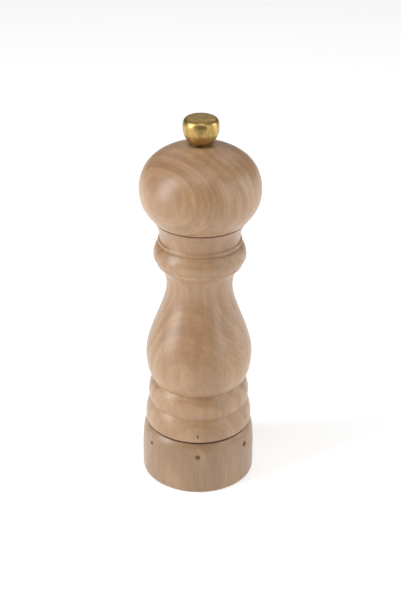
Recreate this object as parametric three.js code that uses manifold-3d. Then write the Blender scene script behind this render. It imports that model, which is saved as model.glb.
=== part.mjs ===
// Pepper mill: a turned wooden body and head, a brass knob, and a grinding unit whose base ring sets
// the grind. Millimetres, +Z up, origin at the centre of the underside, index mark facing -Y.
//
// The base ring carries an insert with two stepped tracks. The feet of a crossbar stand on the
// tracks, and the crossbar carries the shaft, the rotor and the head, so turning the ring raises or
// lowers the rotor inside the stator. The knob clamps the head to the shaft.

import * as THREE from 'three';
import { mergeVertices } from 'three/addons/utils/BufferGeometryUtils.js';
import Module from 'manifold-3d';

const wasm = await Module();
wasm.setup();

// ---------------------------------------------------------------- driving dimensions

// Clearances
const GAP = 0.3; // between pieces that rest on, or are fastened to, each other
const RUNNING_PLAY = 0.1; // between a journal and its bush, on the radius
const SEAM = 0.5; // between body and head at the setting shown, closing as the grind gets coarser
const RING_GROOVE = 0.9; // between the base ring and the body
const SPIGOT_PLAY = 0.4; // between the head's spigot and the chamber, on the radius
const BURR_GAP = 0.55; // between the tips of rotor and stator at the outlet, on the radius
const TRACK_PLAY = 0.05; // between a track and what it stands beside

// Grind settings: six, from the finest (1) to the coarsest (6)
const SETTINGS = 6;
const SETTING_SHOWN = 3;
const SETTING_PITCH = 56.5; // degrees between neighbouring settings
const SETTING_LIFT = 0.1; // how much a finer setting raises the rotor
const FINEST_DOT = 1.3; // diameter of the finest setting's dot
const DOT_GROWTH = 0.5; // by which each coarser dot is larger
const MARK_DEPTH = 0.3; // of the dots and of the index mark

// Base ring, turned
const ring = {
  radius: 26.86,
  height: 26.7,
  footRound: 1.2,
  straight: 13.5,
  shoulderRadius: 26.4,
  shoulderHeight: 21.2,
  topRadius: 24.5,
  dotHeight: 20.4,
};

// Body, turned: the foot band, then the outline's stations from bottom to top
const body = {
  bandRadius: 25.2,
  bandHeight: 3.7,
  footRound: 0.5,
  lowerGroove: { radius: 23.1, rise: 7.55 },
  lowerBead: { radius: 23.8, rise: 4.85 },
  upperGroove: { radius: 21.5, rise: 6.6 },
  bulb: { radius: 24.91, rise: 14.2 },
  neck: { radius: 15.27, rise: 34.1 },
  flare: { radius: 19.6, rise: 12 },
  collarStep: { radius: 19.9, rise: 1.7 },
  collar: { radius: 21.2, rise: 3.2 },
  collarTop: { radius: 19.3, rise: 5 },
  filletFoot: { radius: 18.7, rise: 0.4 },
  fillet: { radius: 19.15, rise: 0.6 },
  filletTop: { radius: 19.15, rise: 0.9 },
  pinch: { radius: 18.3, rise: 0.9 },
  rim: { radius: 20.95, rise: 8.85 },
};
const chamber = { radius: 11.5, mouthChamfer: 0.8 };
const indexMark = { width: 0.8, height: 2.2, aboveFoot: 3.6 };

// Head, turned
const head = {
  seamRadius: 21.35,
  cheek: { radius: 27.37, rise: 13.95 },
  crown: { radius: 7.6, rise: 20.9 },
  spigotLength: 11,
  shaftBoreDepth: 25.2, // above the seam, up to the shaft's shoulder
};

// Knob, turned brass, and its washer
const knob = {
  footRadius: 5,
  bellyRadius: 8.05,
  bellyRise: 6.6,
  topRadius: 5.4,
  topRise: 4.7,
  crownRise: 0.1,
  boreDepth: 8.4,
};
const washer = { radius: 4.7, thickness: 0.5 };

// Shaft
const shaft = {
  across: 5, // flats of the square
  journalRadius: 2.4,
  journalLength: 3.2,
  threadRadius: 2.5,
  threadLength: 18.4,
  clipGrooveRadius: 1.8,
  chamfer: 0.3,
};
const shaftClip = { radius: 4.4, thickness: 0.8, mouth: 70 };

// Grinding unit
const tube = { seatRadius: 14, wall: 2, foot: 1.6, shoulder: 1.2, upperWall: 1.5, upperLength: 15 };
const flange = { margin: 2.5, thickness: 2.5, recess: 1 };
const bridge = { height: 3, hubRadius: 7, armWidth: 2.6, arms: 3, aboveFlange: 4.1 };
const guideBush = { wall: 0.9, play: 0.25, headRadius: 6.4, headThickness: 0.8 };
const stator = { height: 13.3, mouthWall: 2.2, outletWall: 2.95, teeth: 20, toothDepth: 0.8, twist: -18 };
const rotor = {
  grindingHeight: 5.5,
  feedHeight: 8,
  grindingTaper: 1.2,
  teeth: 18,
  toothDepth: 0.8,
  twist: 16,
  tipWall: 1.65,
  fluteFloor: 0.4,
  flutes: 6,
  fluteTwist: 55,
};
const springCup = { radius: 6.3, thickness: 0.8 };
const spring = { coilRadius: 4.9, wireRadius: 0.5, turns: 4.5 };

// Crossbar that carries the shaft, and its thrust bush
const carrier = { width: 4.5, height: 2.5, hubRadius: 5.8, hubFloor: 0.9, footHeight: 1.4 };
const thrustBush = { radius: 3.6, floor: 0.7 };

// Insert of the base ring
const insert = {
  wall: 1.4,
  foot: 0.8,
  height: 23.2,
  shelf: 1.6,
  rimHeight: 2.1,
  shelfPlay: 0.4,
  trackWidth: 1.4,
  stopHeight: 0.9,
};
const retainer = { thickness: 0.8, width: 3.1, grooveDepth: 0.8, aboveTubeFoot: 1.3, mouth: 40 };
const detent = {
  notchDepth: 1.2,
  nibDepth: 0.9,
  nibWidth: 3.2,
  angle: 5,
  span: 50,
  tailAngle: 8,
  padAngle: 12,
  width: 1.4,
  thickness: 0.4,
};

// Fasteners
const housingScrews = { count: 3, firstAngle: 90, headRadius: 2.3, headHeight: 1.5, shank: 1.4, length: 10 };
const plateScrews = { count: 2, circle: 7.2, headRadius: 1.9, headHeight: 1.2, shank: 1.1, length: 9 };
const detentScrew = { headRadius: 1.8, headHeight: 1.1, shank: 1.1 };
const drivePlate = { radius: 10.6, thickness: 1.4 };

// Roundness of the faceted solids, in sides of a full turn
const TURNED_SIDES = 36;
const TUBE_SIDES = 28;
const BORE_SIDES = 20;
const SCREW_SIDES = 12;
const SECTOR_STEP = 20; // degrees to a side of part of a ring
const CONE_STEPS = 3; // up a toothed cone
const COIL_STEPS = 12; // to a turn of the spring's coil
const LEAF_STEPS = 28; // along the detent spring
const PAST = 1; // how far a cutting tool reaches past what it cuts

// ---------------------------------------------------------------- levels, bottom to top

const finerSettings = SETTING_SHOWN - 1;
const coarserSettings = SETTINGS - SETTING_SHOWN;
const riseToFinest = finerSettings * SETTING_LIFT;
const dropToCoarsest = coarserSettings * SETTING_LIFT;

const bodyFoot = ring.height + RING_GROOVE;
const flangeFoot = bodyFoot + flange.recess;
const flangeTop = flangeFoot + flange.thickness;
const bodyStations = [
  'lowerGroove', 'lowerBead', 'upperGroove', 'bulb', 'neck', 'flare', 'collarStep', 'collar',
  'collarTop', 'filletFoot', 'fillet', 'filletTop', 'pinch', 'rim',
];
const bodyHeight = bodyStations.reduce((height, name) => height + body[name].rise, body.bandHeight);
const bodyTop = bodyFoot + bodyHeight;
const headFoot = bodyTop + SEAM;
const headTop = headFoot + head.cheek.rise + head.crown.rise;
const shaftShoulder = headFoot + head.shaftBoreDepth - GAP;
const washerFoot = headTop + GAP;
const knobFoot = washerFoot + washer.thickness + GAP;

const retainerFoot = tube.foot + retainer.aboveTubeFoot;
const shelfFoot = retainerFoot + retainer.thickness + GAP;
const coarsestLand = shelfFoot + insert.shelf;
const shownLand = coarsestLand + dropToCoarsest;
const carrierFoot = shownLand + GAP;
const barFoot = carrierFoot + carrier.footHeight;
const barTop = barFoot + carrier.height;
const clipFoot = barTop + 1.5 * GAP;
const rotorFoot = clipFoot + shaftClip.thickness + GAP;
const rotorTop = rotorFoot + rotor.grindingHeight + rotor.feedHeight;
const journalFoot = clipFoot - GAP - shaft.journalLength;
const bushFoot = journalFoot - GAP - thrustBush.floor;
const statorFoot = barTop + riseToFinest + 2 * GAP;
const statorTop = statorFoot + stator.height;
const cupFoot = rotorTop + GAP;
const bridgeFoot = flangeTop + bridge.aboveFlange;
const bridgeTop = bridgeFoot + bridge.height;

const tubeRadius = tube.seatRadius + tube.wall;
const upperBore = tube.seatRadius - tube.shoulder;
const upperTubeRadius = upperBore + tube.upperWall;
const housingTop = flangeTop + tube.upperLength;
const screwCircle = upperTubeRadius + 2 * GAP + housingScrews.headRadius;
const flangeRadius = screwCircle + flange.margin;
const counterbore = flangeRadius + GAP;

const shelfBore = tubeRadius + insert.shelfPlay;
const innerTrackBore = shelfBore + 2 * TRACK_PLAY;
const outerTrackBore = innerTrackBore + insert.trackWidth + TRACK_PLAY;
const insertBore = outerTrackBore + insert.trackWidth - TRACK_PLAY;
const insertRadius = insertBore + insert.wall;
const leafRadius = flangeRadius - detent.width / 2;
const rimBore = leafRadius - detent.width / 2 - GAP;
const ringBore = insertRadius + GAP;

const statorRadius = tube.seatRadius - GAP;
const outletRadius = statorRadius - stator.outletWall;
const rotorFootRadius = outletRadius - BURR_GAP;
const rotorWaistRadius = rotorFootRadius - rotor.grindingTaper;
const guideRadius = Math.SQRT1_2 * shaft.across + guideBush.play;
const spigotRadius = chamber.radius - SPIGOT_PLAY;
const squareHole = shaft.across + 2 * GAP;

// ---------------------------------------------------------------- solids

const radians = THREE.MathUtils.degToRad;

// A closed geometry as a solid, with its faces pointing out.
function solid(geometry) {
  geometry.deleteAttribute('normal');
  geometry.deleteAttribute('uv');
  const welded = mergeVertices(geometry, 1e-5);
  const corners = welded.index.array;
  const triangles = [];
  for (let i = 0; i < corners.length; i += 3) {
    const [a, b, c] = corners.slice(i, i + 3);
    const collapsed = a === b || b === c || c === a;
    if (!collapsed) triangles.push(a, b, c);
  }
  return new wasm.Manifold(new wasm.Mesh({
    numProp: 3,
    vertProperties: welded.attributes.position.array,
    triVerts: Uint32Array.from(triangles),
  }));
}

const union = (first, ...others) => others.reduce((sum, other) => sum.add(other), first);
const cut = (first, ...others) => others.reduce((rest, other) => rest.subtract(other), first);

// Half of a turned piece's section, drawn as (radius, height) points.
class HalfSection {
  constructor(radius, height) {
    this.points = [new THREE.Vector2(radius, height)];
  }

  get end() {
    return this.points[this.points.length - 1];
  }

  line(radius, height) {
    this.points.push(new THREE.Vector2(radius, height));
    return this;
  }

  // A smooth curve. A lean is the curve's tilt from upright at that end, outward positive, in
  // degrees; leave and arrive are the lengths over which it keeps that tilt, as shares of the chord.
  sweep(radius, height, { leave = 0.35, leaveLean = 0, arrive = 0.35, arriveLean = 0, steps = 3 } = {}) {
    const start = this.end.clone();
    const finish = new THREE.Vector2(radius, height);
    const chord = start.distanceTo(finish);
    const tangent = (lean) => new THREE.Vector2(Math.sin(radians(lean)), Math.cos(radians(lean)));
    const firstHandle = start.clone().addScaledVector(tangent(leaveLean), leave * chord);
    const lastHandle = finish.clone().addScaledVector(tangent(arriveLean), -arrive * chord);
    const curve = new THREE.CubicBezierCurve(start, firstHandle, lastHandle, finish);
    this.points.push(...curve.getPoints(steps).slice(1));
    return this;
  }

  close() {
    this.points.push(this.points[0].clone());
    return this;
  }

  // The outermost radius at a height.
  radiusAt(height) {
    let radius = 0;
    for (let i = 1; i < this.points.length; i += 1) {
      const [low, high] = [this.points[i - 1], this.points[i]].sort((p, q) => p.y - q.y);
      if (height < low.y || height > high.y || low.y === high.y) continue;
      const share = (height - low.y) / (high.y - low.y);
      radius = Math.max(radius, THREE.MathUtils.lerp(low.x, high.x, share));
    }
    return radius;
  }

  turned(sides = TURNED_SIDES) {
    return solid(new THREE.LatheGeometry(this.points, sides).rotateX(Math.PI / 2));
  }
}

// A flat ring or, with no bore, a disc.
function washerShape(bore, radius, low, high, sides = BORE_SIDES) {
  const section = new HalfSection(bore, low).line(radius, low).line(radius, high).line(bore, high);
  return section.close().turned(sides);
}

function disc(radius, low, high, sides = BORE_SIDES) {
  return new HalfSection(0, low).line(radius, low).line(radius, high).line(0, high).turned(sides);
}

function block(width, depth, low, high) {
  return solid(new THREE.BoxGeometry(width, depth, high - low).translate(0, 0, (low + high) / 2));
}

// Part of a flat ring between two angles in degrees.
function sector(bore, radius, low, high, fromAngle, toAngle) {
  const shape = new THREE.Shape();
  shape.absarc(0, 0, radius, radians(fromAngle), radians(toAngle), false);
  shape.absarc(0, 0, bore, radians(toAngle), radians(fromAngle), true);
  const options = {
    depth: high - low,
    bevelEnabled: false,
    curveSegments: Math.max(3, Math.ceil(Math.abs(toAngle - fromAngle) / SECTOR_STEP)),
  };
  return solid(new THREE.ExtrudeGeometry(shape, options).translate(0, 0, low));
}

// A toothed cone: an outline of alternating crests and valleys that shrinks and twists as it rises.
function toothedCone({ teeth, depth, low, high, lowRadius, highRadius, twist }) {
  const outline = [];
  for (let i = 0; i < 2 * teeth; i += 1) {
    const radius = i % 2 ? lowRadius - depth : lowRadius;
    const angle = (i * Math.PI) / teeth;
    outline.push(new THREE.Vector2(radius * Math.cos(angle), radius * Math.sin(angle)));
  }
  const options = { depth: 1, steps: CONE_STEPS, bevelEnabled: false };
  const geometry = new THREE.ExtrudeGeometry(new THREE.Shape(outline), options);
  const corner = new THREE.Vector3();
  const corners = geometry.attributes.position;
  for (let i = 0; i < corners.count; i += 1) {
    corner.fromBufferAttribute(corners, i);
    const share = corner.z;
    const scale = THREE.MathUtils.lerp(1, highRadius / lowRadius, share);
    corner.applyAxisAngle(new THREE.Vector3(0, 0, 1), radians(twist) * share);
    corners.setXYZ(i, corner.x * scale, corner.y * scale, THREE.MathUtils.lerp(low, high, share));
  }
  return solid(geometry);
}

// A pan-head screw pointing up, its shank starting at z = 0, with a cross recess in the head.
function panScrew({ headRadius, headHeight, shank, length }) {
  const recess = 0.6 * headHeight;
  const slot = () => block(1.1 * headRadius, 0.3 * headRadius, -headHeight - GAP, recess - headHeight);
  const section = new HalfSection(0, -headHeight)
    .line(0.7 * headRadius, -headHeight)
    .sweep(headRadius, -0.4 * headHeight, { leaveLean: 75, arrive: 0.4, steps: 3 })
    .line(headRadius, 0)
    .line(shank, 0)
    .line(shank, length - shank)
    .line(0, length);
  return cut(section.turned(SCREW_SIDES), slot(), slot().rotate([0, 0, 90]));
}

function around(shape, angle) {
  return shape.rotate([0, 0, angle]);
}

// ---------------------------------------------------------------- base ring

const settingNumbers = Array.from({ length: SETTINGS }, (_, i) => i + 1);
const settingAngle = (setting) => (setting - SETTING_SHOWN) * SETTING_PITCH;

// A round pit in a turned surface at the front, its floor MARK_DEPTH below the surface.
function frontPit(radius, surfaceRadius, height) {
  const reach = 2;
  const drill = new THREE.CylinderGeometry(radius, radius, reach + MARK_DEPTH, SCREW_SIDES);
  return solid(drill.translate(0, -(surfaceRadius + (reach - MARK_DEPTH) / 2), height));
}

function adjustingRing() {
  const section = new HalfSection(ringBore, 0)
    .line(ring.radius - ring.footRound, 0)
    .sweep(ring.radius, ring.footRound, { leave: 0.39, leaveLean: 90, arrive: 0.39, steps: 2 })
    .line(ring.radius, ring.straight)
    .sweep(ring.shoulderRadius, ring.shoulderHeight, { arriveLean: -4 })
    .sweep(ring.topRadius, ring.height, { leaveLean: -4, arrive: 0.3, arriveLean: -40 })
    .line(ringBore, ring.height)
    .close();
  const dots = settingNumbers.map((setting) => {
    const radius = (FINEST_DOT + (setting - 1) * DOT_GROWTH) / 2;
    return around(frontPit(radius, section.radiusAt(ring.dotHeight), ring.dotHeight), settingAngle(setting));
  });
  return cut(section.turned(), ...dots);
}

// The angle that a foot of the crossbar takes up on its track, with its clearance.
function footHalfAngle(radius) {
  return THREE.MathUtils.radToDeg((carrier.width / 2 + GAP) / radius);
}

// One track: a land for each setting, and a stop that meets the foot past the first and last land.
function track(bore, footAngle) {
  const radius = bore + insert.trackWidth;
  const embedded = coarsestLand - insert.shelf / 2;
  const raised = settingNumbers.slice(0, -1).map((setting) => {
    const middle = footAngle + settingAngle(setting);
    const top = coarsestLand + (SETTINGS - setting) * SETTING_LIFT;
    return sector(bore, radius, embedded, top, middle - SETTING_PITCH / 2, middle + SETTING_PITCH / 2);
  });
  const clearOfFoot = footHalfAngle(bore);
  const stopStart = footAngle + settingAngle(SETTINGS) + clearOfFoot;
  const stopEnd = footAngle + settingAngle(1) + 360 - clearOfFoot;
  const stop = sector(bore, radius, embedded, shownLand + insert.stopHeight, stopStart, stopEnd);
  return union(stop, ...raised);
}

const innerTrack = { bore: innerTrackBore, footAngle: 180 };
const outerTrack = { bore: outerTrackBore, footAngle: 0 };

function ringInsert() {
  const top = insert.foot + insert.height;
  const rimFoot = top - insert.rimHeight;
  const rimSlope = insertBore - rimBore;
  const shell = new HalfSection(shelfBore, shelfFoot)
    .line(insertBore, shelfFoot)
    .line(insertBore, insert.foot)
    .line(insertRadius, insert.foot)
    .line(insertRadius, top)
    .line(rimBore, top)
    .line(rimBore, rimFoot)
    .line(insertBore, rimFoot - rimSlope)
    .line(insertBore, coarsestLand)
    .line(shelfBore, coarsestLand)
    .close()
    .turned();
  const side = Math.SQRT2 * detent.notchDepth;
  const notch = new THREE.BoxGeometry(2 * (insertRadius - rimBore), side, side).rotateX(Math.PI / 4);
  notch.translate((insertRadius + rimBore) / 2, 0, top);
  const notchTool = solid(notch);
  const notches = settingNumbers.map((setting) => around(notchTool, detent.angle + settingAngle(setting)));
  const tracks = [innerTrack, outerTrack].map(({ bore, footAngle }) => track(bore, footAngle));
  return cut(union(shell, ...tracks), ...notches);
}

// ---------------------------------------------------------------- body

function bodyOutline() {
  const section = new HalfSection(counterbore, bodyFoot)
    .line(body.bandRadius - body.footRound, bodyFoot)
    .line(body.bandRadius, bodyFoot + body.footRound)
    .line(body.bandRadius, bodyFoot + body.bandHeight);
  const manners = {
    lowerGroove: { leave: 0.16, arrive: 0.3, arriveLean: -38 },
    lowerBead: { leave: 0.15, leaveLean: 45, arrive: 0.5 },
    upperGroove: { leave: 0.3, arrive: 0.25, arriveLean: -45 },
    bulb: { leave: 0.2, leaveLean: 38, arrive: 0.49, steps: 5 },
    neck: { leave: 0.27, arrive: 0.23, steps: 6 },
    flare: { leave: 0.6, arrive: 0.25, arriveLean: 48, steps: 4 },
    collar: { leave: 0.35, leaveLean: 65, arrive: 0.45, steps: 2 },
    collarTop: { leave: 0.35, arrive: 0.3, arriveLean: -42 },
    rim: { leave: 0.34, arrive: 0.3, arriveLean: 35 },
  };
  for (const name of bodyStations) {
    const { radius, rise } = body[name];
    const height = section.end.y + rise;
    if (manners[name]) section.sweep(radius, height, manners[name]);
    else section.line(radius, height);
  }
  return section;
}

function pilotHoles(screws, circle, start, angles) {
  const hole = disc(screws.shank + GAP, start - PAST, start + screws.length, SCREW_SIDES);
  return angles.map((angle) => around(hole.translate([circle, 0, 0]), angle));
}

const evenAngles = (count, first) => Array.from({ length: count }, (_, i) => first + (i * 360) / count);
const housingScrewAngles = evenAngles(housingScrews.count, housingScrews.firstAngle);

function woodBody() {
  const roof = flangeTop + GAP;
  const unitBore = upperTubeRadius + GAP;
  const unitTop = housingTop + 1;
  const section = bodyOutline();
  const bandRadius = section.radiusAt(bodyFoot + indexMark.aboveFoot);
  section
    .line(chamber.radius + chamber.mouthChamfer, bodyTop)
    .line(chamber.radius, bodyTop - chamber.mouthChamfer)
    .line(chamber.radius, unitTop + unitBore - chamber.radius)
    .line(unitBore, unitTop)
    .line(unitBore, roof)
    .line(counterbore, roof)
    .close();
  const depth = 2;
  const mark = solid(new THREE.BoxGeometry(indexMark.width, depth, indexMark.height)
    .translate(0, depth / 2 - bandRadius + MARK_DEPTH - depth, bodyFoot + indexMark.aboveFoot));
  return cut(section.turned(), mark, ...pilotHoles(housingScrews, screwCircle, roof, housingScrewAngles));
}

// ---------------------------------------------------------------- grinding unit

function mechanismHousing() {
  const grooveRadius = tubeRadius - retainer.grooveDepth;
  const shell = new HalfSection(tube.seatRadius, tube.foot)
    .line(tubeRadius, tube.foot)
    .line(tubeRadius, retainerFoot - GAP)
    .line(grooveRadius, retainerFoot - GAP)
    .line(grooveRadius, shelfFoot)
    .line(tubeRadius, shelfFoot)
    .line(tubeRadius, statorTop + GAP)
    .line(upperTubeRadius, statorTop + GAP + tubeRadius - upperTubeRadius)
    .line(upperTubeRadius, flangeFoot)
    .line(flangeRadius, flangeFoot)
    .line(flangeRadius, flangeTop)
    .line(upperTubeRadius, flangeTop)
    .line(upperTubeRadius, housingTop)
    .line(upperTubeRadius - tube.upperWall / 2, housingTop)
    .line(upperBore, housingTop - tube.upperWall)
    .line(upperBore, statorTop + GAP)
    .line(tube.seatRadius, statorTop + GAP)
    .close()
    .turned(TUBE_SIDES);
  const hubBore = guideRadius + guideBush.wall + GAP;
  const hub = washerShape(hubBore, bridge.hubRadius, bridgeFoot, bridgeTop);
  const armStart = (hubBore + bridge.hubRadius) / 2;
  const armEnd = upperBore + tube.upperWall / 2;
  const arm = block(armEnd - armStart, bridge.armWidth, bridgeFoot, bridgeTop)
    .translate([(armStart + armEnd) / 2, 0, 0]);
  const arms = evenAngles(bridge.arms, -90).map((angle) => around(arm, angle));
  const slotTop = barTop + riseToFinest + GAP;
  const slots = block(4 * tubeRadius, carrier.width + 2 * GAP, tube.foot - PAST, slotTop);
  const screwHole = disc(housingScrews.shank + GAP, flangeFoot - PAST, flangeTop + PAST, SCREW_SIDES);
  const screwHoles = housingScrewAngles.map((a) => around(screwHole.translate([screwCircle, 0, 0]), a));
  const detentHole = disc(detentScrew.shank + GAP, flangeFoot - PAST, flangeTop + PAST, SCREW_SIDES);
  const detentHolePlaced = around(detentHole.translate([screwCircle, 0, 0]), detent.angle + detent.span);
  return cut(union(shell, hub, ...arms), slots, detentHolePlaced, ...screwHoles);
}

function statorRing() {
  const past = 0.01;
  const throat = toothedCone({
    teeth: stator.teeth,
    depth: -stator.toothDepth,
    low: statorFoot - past,
    high: statorTop + past,
    lowRadius: outletRadius,
    highRadius: statorRadius - stator.mouthWall,
    twist: stator.twist,
  });
  return cut(disc(statorRadius, statorFoot, statorTop, TUBE_SIDES), throat);
}

function rotorCone() {
  const waist = rotorFoot + rotor.grindingHeight;
  const tipRadius = Math.SQRT1_2 * squareHole + rotor.tipWall;
  const grinding = toothedCone({
    teeth: rotor.teeth,
    depth: rotor.toothDepth,
    low: rotorFoot,
    high: waist,
    lowRadius: rotorFootRadius,
    highRadius: rotorWaistRadius,
    twist: rotor.twist,
  });
  const feeding = toothedCone({
    teeth: rotor.flutes,
    depth: ((rotor.tipWall - rotor.fluteFloor) * rotorWaistRadius) / tipRadius,
    low: waist - 1,
    high: rotorTop,
    lowRadius: rotorWaistRadius,
    highRadius: tipRadius,
    twist: rotor.fluteTwist,
  });
  const shaftHole = block(squareHole, squareHole, rotorFoot - PAST, rotorTop + PAST);
  return cut(union(grinding, feeding), shaftHole);
}

// The coil's centre line: a plain helix between the cup and the bridge.
class Helix extends THREE.Curve {
  constructor(radius, low, high, turns) {
    super();
    Object.assign(this, { radius, low, high, turns });
  }

  getPoint(share, target = new THREE.Vector3()) {
    const angle = 2 * Math.PI * this.turns * share;
    const height = THREE.MathUtils.lerp(this.low, this.high, share);
    return target.set(this.radius * Math.cos(angle), this.radius * Math.sin(angle), height);
  }
}

function coilSpring() {
  const low = cupFoot + springCup.thickness + GAP + spring.wireRadius;
  const high = bridgeFoot - GAP - spring.wireRadius;
  const rim = new THREE.Path().absarc(0, 0, spring.wireRadius, 0, 2 * Math.PI).getPoints(3);
  const wire = new THREE.Shape(rim.slice(1));
  const extrudePath = new Helix(spring.coilRadius, low, high, spring.turns);
  return solid(new THREE.ExtrudeGeometry(wire, { steps: Math.round(COIL_STEPS * spring.turns), extrudePath }));
}

function guideBushing() {
  const radius = guideRadius + guideBush.wall;
  const shoulder = bridgeTop + GAP;
  return new HalfSection(guideRadius, bridgeFoot)
    .line(radius, bridgeFoot)
    .line(radius, shoulder)
    .line(guideBush.headRadius, shoulder)
    .line(guideBush.headRadius, shoulder + guideBush.headThickness)
    .line(guideRadius, shoulder + guideBush.headThickness)
    .close()
    .turned(BORE_SIDES);
}

// A spring-steel strip bent round the tube. One end is screwed to the flange; the other carries a nib
// that stands in a notch of the insert.
function detentSpring() {
  const padTop = flangeFoot - GAP;
  const nibEndTop = insert.foot + insert.height + GAP + detent.thickness;
  const geometry = new THREE.BoxGeometry(1, detent.width, detent.thickness, LEAF_STEPS, 1, 1);
  const corners = geometry.attributes.position;
  for (let i = 0; i < corners.count; i += 1) {
    const angle = THREE.MathUtils.lerp(detent.span, -detent.tailAngle, corners.getX(i) + 0.5);
    const radius = leafRadius + corners.getY(i);
    const climb = THREE.MathUtils.smoothstep(angle, detent.tailAngle, detent.span - detent.padAngle);
    const fromNib = (radians(angle) * leafRadius) / (detent.nibWidth / 2);
    const nib = Math.abs(fromNib) < 1 ? detent.nibDepth * Math.cos((fromNib * Math.PI) / 2) ** 2 : 0;
    const top = THREE.MathUtils.lerp(nibEndTop, padTop, climb) - nib;
    const height = top + corners.getZ(i) - detent.thickness / 2;
    const turn = radians(angle + detent.angle);
    corners.setXYZ(i, radius * Math.cos(turn), radius * Math.sin(turn), height);
  }
  const tab = disc(detentScrew.headRadius + GAP, padTop - detent.thickness, padTop, SCREW_SIDES);
  const hole = disc(detentScrew.shank + GAP, padTop - PAST, padTop + PAST, SCREW_SIDES);
  const atScrew = (shape) => around(shape.translate([screwCircle, 0, 0]), detent.angle + detent.span);
  return cut(union(solid(geometry), atScrew(tab)), atScrew(hole));
}

function retainingRing() {
  const bore = tubeRadius - retainer.grooveDepth + GAP;
  const start = retainer.mouth / 2 - 90;
  const top = retainerFoot + retainer.thickness;
  return sector(bore, bore + retainer.width, retainerFoot, top, start, start + 360 - retainer.mouth);
}

// ---------------------------------------------------------------- crossbar and shaft

function liftCarrier() {
  const innerFoot = innerTrack.bore + insert.trackWidth / 2;
  const outerFoot = outerTrack.bore + insert.trackWidth / 2;
  const footLength = insert.trackWidth - 2 * GAP;
  const barStart = -(innerFoot + footLength / 2);
  const barEnd = outerFoot + footLength / 2;
  const bar = block(barEnd - barStart, carrier.width, barFoot, barTop)
    .translate([(barStart + barEnd) / 2, 0, 0]);
  const foot = block(footLength, carrier.width, carrierFoot, barFoot + carrier.height / 2);
  const feet = [-innerFoot, outerFoot].map((x) => foot.translate([x, 0, 0]));
  const hub = disc(carrier.hubRadius, bushFoot - GAP - carrier.hubFloor, barTop);
  const bushBore = disc(thrustBush.radius + GAP, bushFoot - GAP, barTop + PAST);
  return cut(union(bar, hub, ...feet), bushBore);
}

function thrustCup() {
  const bore = shaft.journalRadius + RUNNING_PLAY;
  return new HalfSection(0, bushFoot)
    .line(thrustBush.radius, bushFoot)
    .line(thrustBush.radius, barTop)
    .line(bore, barTop)
    .line(bore, bushFoot + thrustBush.floor)
    .line(0, bushFoot + thrustBush.floor)
    .turned();
}

function driveShaft() {
  const journal = new HalfSection(0, journalFoot)
    .line(shaft.journalRadius - shaft.chamfer, journalFoot)
    .line(shaft.journalRadius, journalFoot + shaft.chamfer)
    .line(shaft.journalRadius, clipFoot - GAP)
    .line(shaft.clipGrooveRadius, clipFoot - GAP)
    .line(shaft.clipGrooveRadius, rotorFoot)
    .line(shaft.journalRadius, rotorFoot)
    .line(shaft.journalRadius, rotorFoot + 1)
    .line(0, rotorFoot + 1)
    .turned(BORE_SIDES);
  const square = block(shaft.across, shaft.across, rotorFoot, shaftShoulder);
  const threadTop = shaftShoulder + shaft.threadLength;
  const thread = new HalfSection(0, shaftShoulder - 1)
    .line(shaft.threadRadius, shaftShoulder - 1)
    .line(shaft.threadRadius, threadTop - shaft.chamfer)
    .line(shaft.threadRadius - shaft.chamfer, threadTop)
    .line(0, threadTop)
    .turned(BORE_SIDES);
  return union(square, journal, thread);
}

function clipRing() {
  const bore = shaft.clipGrooveRadius + GAP;
  const start = shaftClip.mouth / 2;
  const top = clipFoot + shaftClip.thickness;
  return sector(bore, shaftClip.radius, clipFoot, top, start, start + 360 - shaftClip.mouth);
}

// ---------------------------------------------------------------- head and knob

const spigotFoot = bodyTop - head.spigotLength;
const plateTop = spigotFoot - GAP;
const plateScrewAngles = evenAngles(plateScrews.count, 90);

function woodHead() {
  const shaftBore = Math.SQRT1_2 * shaft.across + 2 * GAP;
  const threadBore = shaft.threadRadius + GAP;
  const cheekHeight = headFoot + head.cheek.rise;
  const shoulder = shaftShoulder + GAP;
  const section = new HalfSection(shaftBore, spigotFoot)
    .line(spigotRadius, spigotFoot)
    .line(spigotRadius, headFoot)
    .line(head.seamRadius, headFoot)
    .sweep(head.cheek.radius, cheekHeight, { leave: 0.39, leaveLean: 40, arrive: 0.4, steps: 5 })
    .sweep(head.crown.radius, headTop, { leave: 0.57, arrive: 0.17, arriveLean: -61, steps: 8 })
    .line(threadBore, headTop)
    .line(threadBore, shoulder)
    .line(shaftBore, shoulder)
    .close();
  return cut(section.turned(), ...pilotHoles(plateScrews, plateScrews.circle, spigotFoot, plateScrewAngles));
}

function drivingPlate() {
  const outline = new THREE.Shape().absarc(0, 0, drivePlate.radius, 0, 2 * Math.PI);
  const half = squareHole / 2;
  const corners = [[-half, -half], [-half, half], [half, half], [half, -half]];
  outline.holes.push(new THREE.Path(corners.map(([x, y]) => new THREE.Vector2(x, y))));
  for (const angle of plateScrewAngles) {
    const x = plateScrews.circle * Math.cos(radians(angle));
    const y = plateScrews.circle * Math.sin(radians(angle));
    outline.holes.push(new THREE.Path().absarc(x, y, plateScrews.shank + GAP, 0, 2 * Math.PI));
  }
  const plate = new THREE.ExtrudeGeometry(outline, { depth: drivePlate.thickness, bevelEnabled: false });
  return solid(plate.translate(0, 0, plateTop - drivePlate.thickness));
}

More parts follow.
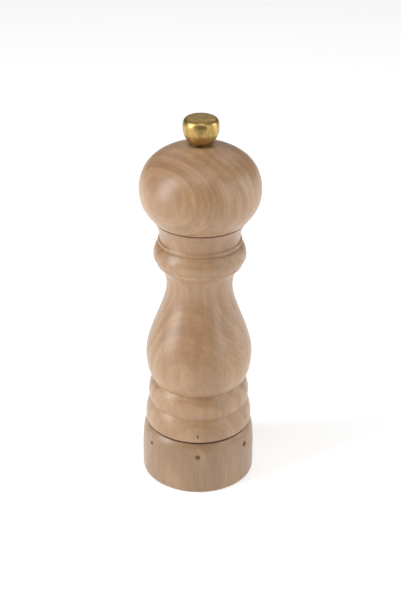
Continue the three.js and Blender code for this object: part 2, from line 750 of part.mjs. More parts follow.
function turnedKnob() {
  const bellyHeight = knobFoot + knob.bellyRise;
  const topEdge = bellyHeight + knob.topRise;
  const bore = shaft.threadRadius + GAP;
  const boreTop = knobFoot + knob.boreDepth;
  return new HalfSection(bore, knobFoot)
    .line(knob.footRadius, knobFoot)
    .sweep(knob.bellyRadius, bellyHeight, { leave: 0.25, leaveLean: 50, arrive: 0.4, steps: 5 })
    .sweep(knob.topRadius, topEdge, { leave: 0.42, arrive: 0.5, arriveLean: -82, steps: 5 })
    .line(0, topEdge + knob.crownRise)
    .line(0, boreTop)
    .line(bore, boreTop)
    .close()
    .turned(TUBE_SIDES);
}

// ---------------------------------------------------------------- materials and assembly

const finishes = {
  wood: { color: 0xb98e68, roughness: 0.55, metalness: 0 },
  brass: { color: 0xb3924f, roughness: 0.25, metalness: 1 },
  steel: { color: 0x9a9a9c, roughness: 0.35, metalness: 1 },
  hardenedSteel: { color: 0x6e6f72, roughness: 0.45, metalness: 1 },
  springSteel: { color: 0x85868a, roughness: 0.3, metalness: 1 },
  blackPlastic: { color: 0x1d1d1f, roughness: 0.6, metalness: 0 },
};

const mill = new THREE.Group();

function place(name, shape, finish, position = [0, 0, 0], angle = 0) {
  const { vertProperties, triVerts } = shape.getMesh();
  const geometry = new THREE.BufferGeometry();
  geometry.setAttribute('position', new THREE.BufferAttribute(vertProperties, 3));
  geometry.setIndex(new THREE.BufferAttribute(triVerts, 1));
  geometry.computeVertexNormals();
  const mesh = new THREE.Mesh(geometry, new THREE.MeshStandardMaterial(finishes[finish]));
  mesh.name = name;
  mesh.position.set(...position);
  mesh.rotation.z = radians(angle);
  mill.add(mesh);
}

// The same screw at each angle of a circle, its shank starting at a height.
function placeScrews(name, screws, circle, height, angles) {
  const shape = panScrew(screws);
  angles.forEach((angle, i) => {
    const x = circle * Math.cos(radians(angle));
    const y = circle * Math.sin(radians(angle));
    place(`${name}_${i + 1}`, shape, 'steel', [x, y, height], angle);
  });
}

place('body', woodBody(), 'wood');
place('mechanism_housing', mechanismHousing(), 'blackPlastic');
place('stator', statorRing(), 'hardenedSteel');
place('guide_bush', guideBushing(), 'brass');
place('grinder_spring', coilSpring(), 'springSteel');
place('detent_spring', detentSpring(), 'springSteel');
place('retaining_ring', retainingRing(), 'springSteel');
placeScrews('housing_screw', housingScrews, screwCircle, flangeFoot - GAP, housingScrewAngles);

const detentScrewFoot = flangeFoot - 2 * GAP - detent.thickness;
const detentScrewLength = flangeTop - GAP - detentScrewFoot;
const detentScrewCut = { ...detentScrew, length: detentScrewLength };
placeScrews('detent_screw', detentScrewCut, screwCircle, detentScrewFoot, [detent.angle + detent.span]);

place('adjusting_ring', adjustingRing(), 'wood');
place('ring_insert', ringInsert(), 'blackPlastic');

place('lift_carrier', liftCarrier(), 'steel');
place('thrust_bush', thrustCup(), 'brass');

place('drive_shaft', driveShaft(), 'steel');
place('shaft_clip', clipRing(), 'springSteel');
place('rotor', rotorCone(), 'hardenedSteel');
const cupTop = cupFoot + springCup.thickness;
place('spring_cup', washerShape(guideRadius, springCup.radius, cupFoot, cupTop), 'steel');

place('head', woodHead(), 'wood');
place('drive_plate', drivingPlate(), 'steel');
const plateScrewFoot = plateTop - drivePlate.thickness - GAP;
placeScrews('plate_screw', plateScrews, plateScrews.circle, plateScrewFoot, plateScrewAngles);

const washerBore = shaft.threadRadius + GAP;
const washerTop = washerFoot + washer.thickness;
place('knob_washer', washerShape(washerBore, washer.radius, washerFoot, washerTop), 'brass');
place('knob', turnedKnob(), 'brass');

export default mill;
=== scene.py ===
"""Looks of a turned wooden pepper mill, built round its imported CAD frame. Lengths are in metres."""

import math

import bmesh
import bpy
from mathutils import Matrix, Vector


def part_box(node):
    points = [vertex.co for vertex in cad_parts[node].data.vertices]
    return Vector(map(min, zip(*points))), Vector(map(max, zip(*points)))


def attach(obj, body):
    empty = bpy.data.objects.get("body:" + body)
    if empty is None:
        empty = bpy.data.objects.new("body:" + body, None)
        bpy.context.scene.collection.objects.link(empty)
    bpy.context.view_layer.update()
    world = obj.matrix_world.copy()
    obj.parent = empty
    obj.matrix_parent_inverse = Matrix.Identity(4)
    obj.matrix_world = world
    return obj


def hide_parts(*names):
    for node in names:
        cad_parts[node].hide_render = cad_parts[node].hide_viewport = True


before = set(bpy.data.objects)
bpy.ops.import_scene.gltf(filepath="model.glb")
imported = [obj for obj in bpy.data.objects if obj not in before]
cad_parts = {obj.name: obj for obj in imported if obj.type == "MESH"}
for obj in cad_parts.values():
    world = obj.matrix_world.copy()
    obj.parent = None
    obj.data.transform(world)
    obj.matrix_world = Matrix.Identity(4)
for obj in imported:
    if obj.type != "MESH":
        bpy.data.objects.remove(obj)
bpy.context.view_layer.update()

MM = 0.001

# The fineness of turned pieces
SIDES = 180  # a multiple of 4, so that a piece is as wide as its CAD node on both axes
SMALL_SIDES = 96  # the same, for small pieces
DOT_SIDES = 40
MARK_END_SIDES = 12
POINT_SPACING = 0.7 * MM  # along a turned outline
CORNER = 48  # an outline that turns outward by more degrees than this has an edge there
CREASE = 24  # and one that turns inward by more than this has a crease
EDGE_ROUND = 0.3 * MM  # how far an edge is rounded back on each side
CREASE_ROUND = 0.1 * MM
COLUMN = 50  # the azimuth of a column of facets that no hole or mark cuts, in degrees
STRAIGHT_RATIO = 2.5  # a stretch this much longer than its neighbour is straight

# Grind settings, as the frame has them: equal steps of the base ring
SETTINGS = 6
SETTING_SHOWN = 3
SETTING_PITCH = 56.5  # degrees
FINEST_DOT = 1.3 * MM  # diameter
DOT_GROWTH = 0.5 * MM
DOT_HEIGHT = 20.4 * MM
MARK_DEPTH = 0.25 * MM
MARK_SIZE = (0.8 * MM, 2.2 * MM)  # the index mark's width and height
MARK_ABOVE_FOOT = 3.6 * MM
CUTTER_REACH = 4 * MM  # how long the tools are that cut the dots and the mark
# Bare wood is painted dark as shade in the seams, the bores and the undersides.
SHADED_BARE_RIM = 0.4 * MM  # the height of bare wood at the top of the body and of the base ring
IN_BORE = -0.3  # a face whose normal has less than this of the way outward is inside a bore
UNDERNEATH = -0.99  # and one whose normal has less than this of the way up is an underside
EASED_EDGE = 0.12 * MM
EASED_ANGLE = 35  # degrees; flatter edges of the mechanism stay as they are

# Camera and light
AIM_HEIGHT = 90.2 * MM
CAMERA_DISTANCE = 0.6
CAMERA_ELEVATION = 28.28  # degrees
CAMERA_ROLL = 0.56  # degrees
CAMERA_OFFSET = 0.5 * MM  # to the right of the mill's axis
LENS, SENSOR = 77.5, 36
WORLD_LIGHT = 0.1
FLOOR_SIZE = 6
FLOOR_GLOW = 0.46
GLOW_RISES = (-0.55, -0.13)  # from none to full between these places along Y


# ---------------------------------------------------------------- meshes


def object_from(name, bm):
    """A new object holding the mesh, shaded smooth."""
    bmesh.ops.recalc_face_normals(bm, faces=bm.faces)
    mesh = bpy.data.meshes.new(name)
    bm.to_mesh(mesh)
    bm.free()
    mesh.shade_smooth()
    piece = bpy.data.objects.new(name, mesh)
    bpy.context.scene.collection.objects.link(piece)
    return piece


def half_section(node):
    """A turned CAD node's half-section as (radius, height) points in order.

    Its first and last points are on the axis if the node is solid there; otherwise it is a loop.
    """
    angle = math.radians(COLUMN)
    outward = Vector((math.cos(angle), math.sin(angle), 0))
    across = Vector((-outward.y, outward.x, 0))
    bm = bmesh.new()
    bm.from_mesh(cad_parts[node].data)
    bmesh.ops.remove_doubles(bm, verts=bm.verts, dist=1e-7)
    whole = bm.verts[:] + bm.edges[:] + bm.faces[:]
    bmesh.ops.bisect_plane(bm, geom=whole, dist=1e-7, plane_co=(0, 0, 0), plane_no=outward, clear_inner=True)
    whole = bm.verts[:] + bm.edges[:] + bm.faces[:]
    cut = bmesh.ops.bisect_plane(bm, geom=whole, dist=1e-6, plane_co=(0, 0, 0), plane_no=across)
    links = {}
    for edge in cut["geom_cut"]:
        if isinstance(edge, bmesh.types.BMEdge):
            first, second = edge.verts
            links.setdefault(first, []).append(second)
            links.setdefault(second, []).append(first)
    ends = [vert for vert, joined in links.items() if len(joined) == 1]
    here, before = (ends or list(links))[0], None
    order = []
    while here is not None and here not in order:
        order.append(here)
        onward = [vert for vert in links[here] if vert is not before]
        here, before = (onward[0] if onward else None), here
    section = [(vert.co.dot(outward), vert.co.z) for vert in order]
    bm.free()
    return section, not ends


def turn_at(before, here, after):
    """How far a path turns at a point, in degrees: positive anticlockwise, as round a solid's outside."""
    incoming, outgoing = here - before, after - here
    return math.degrees(math.atan2(incoming.cross(outgoing), incoming.dot(outgoing)))


def anticlockwise(points):
    """The points in the order that keeps the solid on the left of the path."""
    area = sum(a.cross(b) for a, b in zip(points, points[1:] + points[:1]))
    return points if area > 0 else points[::-1]


def without_straight_points(points, closed):
    """The points at which the outline turns at all."""
    kept = []
    for i, here in enumerate(points):
        at_end = not closed and i in (0, len(points) - 1)
        before, after = points[i - 1], points[(i + 1) % len(points)]
        if at_end or abs(turn_at(before, here, after)) > 0.5:
            kept.append(here)
    return kept


def edges_rounded(points, closed):
    """The outline with each edge replaced by a small round. Returns (point, is part of a round) pairs."""
    rounded = []
    for i, here in enumerate(points):
        at_end = not closed and i in (0, len(points) - 1)
        before, after = points[i - 1], points[(i + 1) % len(points)]
        turn = turn_at(before, here, after)
        if at_end or -CREASE < turn < CORNER:
            rounded.append((here, at_end))
            continue
        longest = EDGE_ROUND if turn > 0 else CREASE_ROUND
        back = min(longest, 0.4 * (here - before).length, 0.4 * (after - here).length)
        start = here + (before - here).normalized() * back
        finish = here + (after - here).normalized() * back
        for share in (0, 0.25, 0.5, 0.75, 1):
            point = start.lerp(here, share).lerp(here.lerp(finish, share), share)
            rounded.append((point, True))
    return rounded


def tangent_at(before, here, after):
    """The direction of a smooth curve through a point: along a long straight stretch, or halfway round."""
    incoming, outgoing = here - before, after - here
    if incoming.length > STRAIGHT_RATIO * outgoing.length:
        return incoming.normalized()
    if outgoing.length > STRAIGHT_RATIO * incoming.length:
        return outgoing.normalized()
    blend = incoming.normalized() * outgoing.length + outgoing.normalized() * incoming.length
    return blend.normalized()


def smooth_outline(section, closed):
    """A fine, smooth outline through a faceted section, with its edges slightly rounded."""
    points = without_straight_points(anticlockwise([Vector(point) for point in section]), closed)
    stations = edges_rounded(points, closed)
    count = len(stations)
    widest = max(point.x for point in points)
    fine = []
    for i in range(count if closed else count - 1):
        (before, _), (start, start_fixed) = stations[i - 1], stations[i]
        (finish, finish_fixed), (after, _) = stations[(i + 1) % count], stations[(i + 2) % count]
        chord = finish - start
        leave = chord.normalized() if start_fixed else tangent_at(before, start, finish)
        arrive = chord.normalized() if finish_fixed else tangent_at(start, finish, after)
        handles = start + leave * chord.length / 3, finish - arrive * chord.length / 3
        steps = max(1, math.ceil(chord.length / POINT_SPACING)) if not (start_fixed and finish_fixed) else 1
        for step in range(steps):
            t = step / steps
            point = (
                start * (1 - t) ** 3
                + handles[0] * 3 * t * (1 - t) ** 2
                + handles[1] * 3 * t * t * (1 - t)
                + finish * t**3
            )
            fine.append(Vector((min(max(point.x, 0), widest), point.y)))
    if not closed:
        fine.append(stations[-1][0])
    return fine


def spun(name, outline, closed, sides=SIDES):
    """The turned piece of an outline of (radius, height) points."""
    bm = bmesh.new()
    rings = []
    for radius, height in outline:
        if radius < 1e-6:
            rings.append([bm.verts.new((0, 0, height))] * sides)
            continue
        angles = (2 * math.pi * k / sides for k in range(sides))
        rings.append([bm.verts.new((radius * math.cos(a), radius * math.sin(a), height)) for a in angles])
    pairs = list(zip(rings, rings[1:]))
    if closed:
        pairs.append((rings[-1], rings[0]))
    for low, high in pairs:
        for k in range(sides):
            corners = (low[k], low[(k + 1) % sides], high[(k + 1) % sides], high[k])
            distinct = list(dict.fromkeys(corners))
            if len(distinct) > 2:
                bm.faces.new(distinct)
    return object_from(name, bm)


def turned_piece(node, finish, body, sides=SIDES):
    """A smooth turned piece that stands for a CAD node."""
    section, closed = half_section(node)
    piece = spun(node + "_turned", smooth_outline(section, closed), closed, sides)
    piece.data.materials.append(finish)
    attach(piece, body)
    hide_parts(node)
    return piece


def with_flat_faces_flat(piece):
    """Keeps flat faces flat in shading beside small rounded edges."""
    piece.modifiers.new("flat faces", "WEIGHTED_NORMAL").keep_sharp = True


def cut_away(piece, cutter, finish):
    """Cuts a shape out of a piece, and gives the cut faces a finish of their own."""
    cutter.data.materials.append(finish)
    piece.data.materials.append(finish)
    cutting = piece.modifiers.new("cut", "BOOLEAN")
    cutting.operation = "DIFFERENCE"
    cutting.solver = "EXACT"
    cutting.material_mode = "TRANSFER"
    cutting.object = cutter
    depsgraph = bpy.context.evaluated_depsgraph_get()
    carved = bpy.data.meshes.new_from_object(piece.evaluated_get(depsgraph))
    piece.modifiers.remove(cutting)
    piece.data = carved
    bpy.data.objects.remove(cutter)


def outer_radius(node, height):
    """The outer radius of a turned CAD node at a height."""
    section, closed = half_section(node)
    outline = smooth_outline(section, closed)
    crossings = []
    for low, high in zip(outline, outline[1:]):
        if (low.y - height) * (high.y - height) <= 0 and low.y != high.y:
            crossings.append(low.x + (high.x - low.x) * (height - low.y) / (high.y - low.y))
    return max(crossings)


# ---------------------------------------------------------------- finishes


class Finish:
    """A node material being built on one Principled shader."""

    def __init__(self, name, **surface):
        self.material = bpy.data.materials.new(name)
        self.material.use_nodes = True
        self.tree = self.material.node_tree
        self.shader = self.tree.nodes["Principled BSDF"]
        for socket, value in surface.items():
            self.shader.inputs[socket.replace("_", " ")].default_value = value
        self.place = self.node("ShaderNodeTexCoord").outputs["Object"]

    def node(self, kind, inputs=None, **settings):
        node = self.tree.nodes.new(kind)
        for name, value in settings.items():
            setattr(node, name, value)
        for name, value in (inputs or {}).items():
            if isinstance(value, bpy.types.NodeSocket):
                self.tree.links.new(value, node.inputs[name])
            else:
                node.inputs[name].default_value = value
        return node

    def math(self, operation, first, second=0.0):
        return self.node("ShaderNodeMath", {0: first, 1: second}, operation=operation).outputs[0]

    def vector_math(self, operation, *inputs):
        return self.node("ShaderNodeVectorMath", dict(enumerate(inputs)), operation=operation)

    def mapped(self, source, **placement):
        inputs = {"Vector": source, **{key.capitalize(): value for key, value in placement.items()}}
        return self.node("ShaderNodeMapping", inputs).outputs[0]

    def noise(self, source, stretch=(1, 1, 1), scale=1.0, detail=2.0, roughness=0.5):
        """Soft noise from 0 to 1, its grain 1/stretch/scale metres long each way."""
        vector = self.mapped(source, scale=stretch)
        inputs = {"Vector": vector, "Scale": scale, "Detail": detail, "Roughness": roughness}
        return self.node("ShaderNodeTexNoise", inputs).outputs["Fac"]

    def between(self, value, low, high, to_low=0.0, to_high=1.0):
        inputs = {"Value": value, "From Min": low, "From Max": high, "To Min": to_low, "To Max": to_high}
        return self.node("ShaderNodeMapRange", inputs, interpolation_type="SMOOTHSTEP").outputs[0]

    def mix(self, share, first, second):
        node = self.node("ShaderNodeMix", data_type="RGBA")
        for socket, value in (("Factor_Float", share), ("A_Color", first), ("B_Color", second)):
            target = next(s for s in node.inputs if s.identifier == socket)
            if isinstance(value, bpy.types.NodeSocket):
                self.tree.links.new(value, target)
            else:
                target.default_value = value
        return next(s for s in node.outputs if s.identifier == "Result_Color")

    def colour(self, value):
        self.tree.links.new(value, self.shader.inputs["Base Color"])

    def roughness(self, value):
        self.tree.links.new(value, self.shader.inputs["Roughness"])

    def bump(self, height, depth, strength):
        node = self.node("ShaderNodeBump", {"Height": height, "Distance": depth, "Strength": strength})
        self.tree.links.new(node.outputs[0], self.shader.inputs["Normal"])


PALE_WOOD = (0.55, 0.34, 0.178, 1)
PINK_WOOD = (0.49, 0.285, 0.15, 1)
RING_WOOD = (0.26, 0.135, 0.064, 1)
FLECK_WOOD = (0.22, 0.12, 0.06, 1)
YEARS_IN_BAND = 3


def beech(name, pith, lean, band_spacing, figure, wander, drift, tone):
    """Satin-lacquered beech, cut from a log whose pith passes a given point.

    pith is a point on the log's centre line and lean its tilt in degrees about X and Y, both in the
    mill's frame. Each band is a few years of growth, figure is how dark it gets at most, and wander
    is how far it strays from round. drift moves the finer grain, so that no two blanks match, and
    tone is the blank's brightness.
    """
    finish = Finish(name, IOR=1.48, Coat_Weight=0.65, Coat_Roughness=0.34)
    drifted = finish.mapped(finish.place, location=drift)

    # The growth rings: how far each point lies from the log's centre line, pushed about by noise
    stray = finish.node(
        "ShaderNodeTexNoise",
        {"Vector": finish.mapped(drifted, scale=(1, 1, 0.45)), "Scale": 34.0, "Detail": 1.5},
    ).outputs["Color"]
    centred = finish.vector_math("SUBTRACT", stray, (0.5, 0.5, 0.5)).outputs[0]
    reach = (4 * wander, 4 * wander, 0)
    pushed = finish.vector_math("MULTIPLY_ADD", centred, reach, finish.place).outputs[0]
    tilt = (math.radians(lean[0]), math.radians(lean[1]), 0)
    log = finish.node(
        "ShaderNodeMapping",
        {"Vector": pushed, "Location": pith, "Rotation": tilt},
        vector_type="TEXTURE",
    ).outputs[0]
    across_log = finish.vector_math("MULTIPLY", log, (1, 1, 0)).outputs[0]
    radius = finish.vector_math("LENGTH", across_log).outputs["Value"]
    bands = finish.math("MULTIPLY", radius, 1 / band_spacing)
    band = late_wood(finish, bands)
    year = late_wood(finish, finish.math("MULTIPLY", bands, YEARS_IN_BAND))

    # Centimetre-wide areas of pinker wood, and others where the bands stand out
    patches = finish.between(finish.noise(drifted, (1, 1, 0.4), 60.0), 0.35, 0.65)
    figured = finish.between(finish.noise(drifted, (1, 1, 0.6), 38.0, 1.0), 0.4, 0.6, 0.35 * figure, figure)
    # Streaks and fibres along the grain, and beech's short dark flecks
    streaks = finish.between(finish.noise(drifted, (300, 300, 18), 1.0, 3.0), 0.35, 0.7)
    fibres = finish.noise(drifted, (1500, 1500, 80), 1.0, 3.0, 0.6)
    flecks = finish.between(finish.noise(drifted, (2300, 2300, 330), 1.0, 1.0), 0.6, 0.72)

    pale, pink, ring, fleck = (shade(wood, tone) for wood in (PALE_WOOD, PINK_WOOD, RING_WOOD, FLECK_WOOD))
    colour = finish.mix(patches, pale, pink)
    colour = finish.mix(finish.math("MULTIPLY", band, figured), colour, ring)
    colour = finish.mix(finish.math("MULTIPLY", year, 0.4 * figure), colour, ring)
    colour = finish.mix(finish.between(streaks, 0, 1, 0.0, 0.22), colour, ring)
    colour = finish.mix(finish.between(fibres, 0.35, 0.75, 0.0, 0.25), colour, ring)
    colour = finish.mix(finish.math("MULTIPLY", flecks, 0.4), colour, fleck)
    finish.colour(colour)
    finish.roughness(finish.between(fibres, 0.3, 0.7, 0.38, 0.5))
    finish.bump(finish.math("SUBTRACT", fibres, finish.math("MULTIPLY", flecks, 0.6)), 0.05 * MM, 0.3)
    return finish.material


def shade(colour, tone):
    return (*(channel * tone for channel in colour[:3]), 1)


def late_wood(finish, rings):
    """How dark each growth ring is across its width: pale, slowly darkening, and pale again at its rim."""
    share = finish.math("FRACT", rings)
    rising = finish.between(share, 0.1, 0.78)
    falling = finish.between(share, 0.8, 1.0, 1.0, 0.0)
    return finish.math("MULTIPLY", rising, falling)


def burnt_wood(name, dark, light):
    """The floor and walls of a mark burnt into the wood."""
    finish = Finish(name, Roughness=0.7)
    char = finish.noise(finish.place, scale=2500.0, detail=3.0)
    finish.colour(finish.mix(finish.between(char, 0.3, 0.7), dark, light))
    finish.bump(char, 0.04 * MM, 0.5)
    return finish.material


def unlacquered_shade_wood():
    """Unlacquered wood, its darkness partly pepper dust and partly painted shade for the bores, the
    undersides and the gaps between parts.
    """
    finish = Finish("bare_with_painted_shade", Roughness=0.75)
    fibres = finish.noise(finish.place, (1800, 1800, 60), 1.0, 3.0, 0.6)
    finish.colour(finish.mix(finish.between(fibres, 0.3, 0.7), (0.3, 0.18, 0.1, 1), (0.19, 0.11, 0.058, 1)))
    finish.bump(fibres, 0.08 * MM, 0.5)
    return finish.material


BRASS = (0.6, 0.41, 0.15, 1)
DULLED_BRASS = (0.4, 0.27, 0.09, 1)
SPECK_BRASS = (0.24, 0.14, 0.045, 1)


def turned_brass(name, roughness, tone=1.0):
    """Brass with the fine rings that a lathe tool leaves, slightly dulled in patches."""
    finish = Finish(name, Metallic=1.0)
    tool_rings = finish.noise(finish.place, (60, 60, 9000), 1.0, 2.0)
    dulled = finish.between(finish.noise(finish.place, (1, 1, 0.6), 420.0, 3.0), 0.3, 0.7)
    specks = finish.between(finish.noise(finish.place, scale=2600.0, detail=2.0), 0.55, 0.75)
    colour = finish.mix(dulled, shade(BRASS, tone), shade(DULLED_BRASS, tone))
    finish.colour(finish.mix(finish.math("MULTIPLY", specks, 0.35), colour, shade(SPECK_BRASS, tone)))
    finish.roughness(finish.between(dulled, 0, 1, roughness, roughness + 0.12))
    finish.bump(tool_rings, 0.02 * MM, 0.7)
    return finish.material


def metal(name, bright, dark, roughness, stretch, grain_depth=0.01 * MM):
    """A metal with a fine grain; stretch is how closely the grain repeats on each axis, per metre."""
    finish = Finish(name, Metallic=1.0)
    grain = finish.noise(finish.place, stretch, 1.0, 3.0, 0.6)
    blotches = finish.noise(finish.place, scale=260.0, detail=3.0)
    finish.colour(finish.mix(finish.between(blotches, 0.35, 0.7), bright, dark))
    finish.roughness(finish.between(grain, 0.3, 0.7, roughness - 0.06, roughness + 0.1))
    finish.bump(grain, grain_depth, 0.6)
    return finish.material


def moulded_plastic():
    finish = Finish("black_plastic", Specular_IOR_Level=0.45)
    pebble = finish.noise(finish.place, scale=3200.0, detail=1.0)
    handled = finish.noise(finish.place, scale=140.0, detail=3.0)
    black, worn = (0.018, 0.018, 0.02, 1), (0.034, 0.033, 0.033, 1)
    finish.colour(finish.mix(finish.between(handled, 0.35, 0.7), black, worn))
    finish.roughness(finish.between(handled, 0.3, 0.7, 0.44, 0.6))
    finish.bump(pebble, 0.03 * MM, 0.5)
    return finish.material


# ---------------------------------------------------------------- the mill


body_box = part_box("body")

body_wood = beech(
    "body_beech",
    pith=(0.004, 0.045, 0.07),
    lean=(5, 2),
    band_spacing=4.6 * MM,
    figure=0.36,
    wander=2.2 * MM,
    drift=(0, 0, 0),
    tone=0.89,
)
head_wood = beech(
    "head_beech",
    pith=(0.0405, 0.0378, 0.15),
    lean=(6, 24),
    band_spacing=4.5 * MM,
    figure=0.45,
    wander=0.6 * MM,
    drift=(0.31, 0.12, 0.07),
    tone=0.95,
)
ring_wood = beech(
    "ring_beech",
    pith=(0.03, 0.05, 0.01),
    lean=(2, -3),
    band_spacing=5 * MM,
    figure=0.3,
    wander=1 * MM,
    drift=(0.17, 0.43, 0.29),
    # tone 0.7 is partly the ring blank's own darker colour and partly painted shade for the weaker light at
    # the foot.
    tone=0.7,
)
burnt_dot = burnt_wood("burnt_dot", (0.11, 0.06, 0.036, 1), (0.19, 0.108, 0.064, 1))
burnt_mark = burnt_wood("burnt_mark", (0.2, 0.118, 0.07, 1), (0.3, 0.185, 0.11, 1))
# Bare wood painted dark as shade, for the seams, the bores and the undersides
bare_with_painted_shade = unlacquered_shade_wood()


def dots_cutter():
    """Six short pins, one for each setting, that reach MARK_DEPTH into the base ring."""
    radius = outer_radius("adjusting_ring", DOT_HEIGHT)
    bm = bmesh.new()
    for setting in range(1, SETTINGS + 1):
        dot_radius = (FINEST_DOT + (setting - 1) * DOT_GROWTH) / 2
        turn = Matrix.Rotation(math.radians((setting - SETTING_SHOWN) * SETTING_PITCH), 4, "Z")
        outward = Matrix.Translation((0, -(radius - MARK_DEPTH + CUTTER_REACH / 2), DOT_HEIGHT))
        lying = Matrix.Rotation(math.pi / 2, 4, "X")
        bmesh.ops.create_cone(
            bm,
            cap_ends=True,
            segments=DOT_SIDES,
            radius1=dot_radius,
            radius2=dot_radius,
            depth=CUTTER_REACH,
            matrix=turn @ outward @ lying,
        )
    return object_from("dots_cutter", bm)


def mark_cutter():
    """A round-ended upright slot at the front of the body's foot band."""
    width, height = MARK_SIZE
    middle = body_box[0].z + MARK_ABOVE_FOOT
    radius = outer_radius("body", middle)
    bm = bmesh.new()
    outline = []
    for end, start_angle in ((1, 0), (-1, math.pi)):
        for k in range(MARK_END_SIDES + 1):
            angle = start_angle + math.pi * k / MARK_END_SIDES
            straight = end * (height - width) / 2
            outline.append((width / 2 * math.cos(angle), straight + width / 2 * math.sin(angle)))
    face = bm.faces.new([bm.verts.new((x, -(radius - MARK_DEPTH), middle + z)) for x, z in outline])
    moved = bmesh.ops.extrude_face_region(bm, geom=[face])["geom"]
    moved_corners = [corner for corner in moved if isinstance(corner, bmesh.types.BMVert)]
    bmesh.ops.translate(bm, vec=(0, -CUTTER_REACH, 0), verts=moved_corners)
    return object_from("mark_cutter", bm)


def shade_inside_bare(piece, below=0.0, above=math.inf):
    """Gives bare wood, painted dark as shade, to a piece's bores, to faces that point down, and to what is
    past a height.
    """
    mesh = piece.data
    mesh.materials.append(bare_with_painted_shade)
    painted_shade_slot = len(mesh.materials) - 1
    for face in mesh.polygons:
        outward = Vector((face.center.x, face.center.y, 0)).normalized()
        in_bore = face.normal.dot(outward) < IN_BORE
        underneath = face.normal.z < UNDERNEATH
        past_end = face.center.z < below or face.center.z > above
        if face.material_index == 0 and (in_bore or underneath or past_end):
            face.material_index = painted_shade_slot


body = turned_piece("body", body_wood, "mill_body")
cut_away(body, mark_cutter(), burnt_mark)
shade_inside_bare(body, above=body_box[1].z - SHADED_BARE_RIM)
with_flat_faces_flat(body)

head = turned_piece("head", head_wood, "head_assembly")
shade_inside_bare(head, below=body_box[1].z)
with_flat_faces_flat(head)

base_ring = turned_piece("adjusting_ring", ring_wood, "adjuster")
cut_away(base_ring, dots_cutter(), burnt_dot)
shade_inside_bare(base_ring, above=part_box("adjusting_ring")[1].z - SHADED_BARE_RIM)
with_flat_faces_flat(base_ring)

knob = turned_piece("knob", turned_brass("polished_brass", 0.33), "knob")
with_flat_faces_flat(knob)
# The washer's brass is darkened to 0.4 as painted shade, standing for the shadow under the knob.
washer_metal_in_shade = turned_brass("washer_metal_in_shade", 0.45, tone=0.4)
washer = turned_piece("knob_washer", washer_metal_in_shade, "captive_washer", SMALL_SIDES)
with_flat_faces_flat(washer)

bush_brass = turned_brass("bush_brass", 0.3)
for node, owner in (("guide_bush", "mill_body"), ("thrust_bush", "crossbar")):
    with_flat_faces_flat(turned_piece(node, bush_brass, owner, SMALL_SIDES))

plain_steel = metal("plain_steel", (0.62, 0.62, 0.63, 1), (0.5, 0.5, 0.51, 1), 0.28, (1600, 1600, 60))
with_flat_faces_flat(turned_piece("spring_cup", plain_steel, "drive_train", SMALL_SIDES))

# The faceted pieces of the mechanism keep their CAD shape, with their edges eased.
black_plastic = moulded_plastic()
burr_steel = metal("burr_steel", (0.3, 0.3, 0.31, 1), (0.2, 0.2, 0.21, 1), 0.38, (500, 500, 900), 0.03 * MM)
spring_steel = metal("spring_steel", (0.5, 0.5, 0.52, 1), (0.4, 0.4, 0.42, 1), 0.25, (900, 900, 900))
zinc = metal("zinc_plate", (0.66, 0.67, 0.7, 1), (0.55, 0.55, 0.56, 1), 0.3, (700, 700, 700))
kept_nodes = {
    "mechanism_housing": black_plastic,
    "ring_insert": black_plastic,
    "stator": burr_steel,
    "rotor": burr_steel,
    "grinder_spring": spring_steel,
    "detent_spring": spring_steel,
    "retaining_ring": spring_steel,
    "shaft_clip": spring_steel,
    "drive_shaft": plain_steel,
    "lift_carrier": plain_steel,
    "drive_plate": plain_steel,
}
screws = [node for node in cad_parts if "_screw_" in node]
kept_nodes.update({node: zinc for node in screws})
for node, finish in kept_nodes.items():
    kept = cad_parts[node]
    kept.material_slots[0].material = finish
    easing = kept.modifiers.new("eased edges", "BEVEL")
    easing.width = EASED_EDGE
    easing.segments = 2
    easing.limit_method = "ANGLE"
    easing.angle_limit = math.radians(EASED_ANGLE)
    with_flat_faces_flat(kept)


# ---------------------------------------------------------------- floor, light and camera


def studio_floor():
    """A white sweep that glows under and behind the mill, and falls off towards the camera."""
    bm = bmesh.new()
    bmesh.ops.create_grid(bm, x_segments=1, y_segments=1, size=FLOOR_SIZE / 2)
    floor = object_from("floor", bm)
    finish = Finish("pale_floor", Base_Color=(0.86, 0.86, 0.86, 1), Roughness=0.9, Specular_IOR_Level=0)
    finish.shader.inputs["Emission Color"].default_value = (1, 1, 1, 1)
    along = finish.node("ShaderNodeSeparateXYZ", {0: finish.place}).outputs["Y"]
    glow = finish.between(along, *GLOW_RISES, 0.0, FLOOR_GLOW)
    finish.tree.links.new(glow, finish.shader.inputs["Emission Strength"])
    floor.data.materials.append(finish.material)


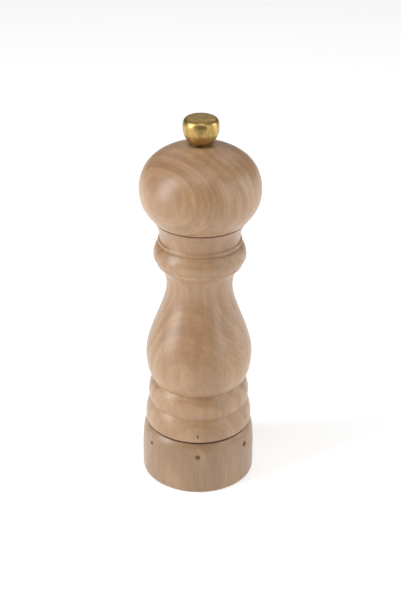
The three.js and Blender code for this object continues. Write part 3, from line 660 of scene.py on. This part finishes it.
def softbox(name, azimuth, elevation, distance, size, radiance):
    """A rectangular area light aimed at the middle of the mill. Azimuth 0 is the camera's side."""
    light = bpy.data.lights.new(name, "AREA")
    light.shape = "RECTANGLE"
    light.size, light.size_y = size
    light.energy = radiance * math.pi * size[0] * size[1]
    lamp = bpy.data.objects.new(name, light)
    a, e = math.radians(azimuth), math.radians(elevation)
    towards = Vector((math.sin(a) * math.cos(e), -math.cos(a) * math.cos(e), math.sin(e)))
    lamp.location = Vector((0, 0, AIM_HEIGHT)) + towards * distance
    lamp.rotation_euler = towards.to_track_quat("Z", "Y").to_euler()
    bpy.context.scene.collection.objects.link(lamp)


studio_floor()
softbox("left_softbox", azimuth=-70, elevation=24, distance=1.1, size=(0.44, 1.1), radiance=7)
softbox("right_strip", azimuth=54, elevation=20, distance=1.1, size=(0.17, 1.2), radiance=6)
softbox("right_softbox", azimuth=98, elevation=18, distance=1.1, size=(0.5, 0.75), radiance=2.8)
softbox("back_softbox", azimuth=180, elevation=42, distance=1.5, size=(1.6, 1.0), radiance=0.7)
softbox("top_softbox", azimuth=0, elevation=74, distance=1.3, size=(0.8, 0.8), radiance=2.1)

world = bpy.data.worlds.new("studio")
world.use_nodes = True
world.node_tree.nodes["Background"].inputs["Color"].default_value = (1, 1, 1, 1)
world.node_tree.nodes["Background"].inputs["Strength"].default_value = WORLD_LIGHT
scene = bpy.context.scene
scene.world = world
scene.view_settings.view_transform = "Standard"

camera_data = bpy.data.cameras.new("camera")
camera_data.lens = LENS
camera_data.sensor_width = SENSOR
camera = bpy.data.objects.new("camera", camera_data)
elevation = math.radians(CAMERA_ELEVATION)
aim = Vector((CAMERA_OFFSET, 0, AIM_HEIGHT))
backward = Vector((0, -math.cos(elevation), math.sin(elevation)))
camera.location = aim + backward * CAMERA_DISTANCE
facing = backward.to_track_quat("Z", "Y").to_matrix().to_4x4()
camera.rotation_euler = (facing @ Matrix.Rotation(math.radians(CAMERA_ROLL), 4, "Z")).to_euler()
scene.collection.objects.link(camera)
scene.camera = camera

bpy.context.view_layer.update()
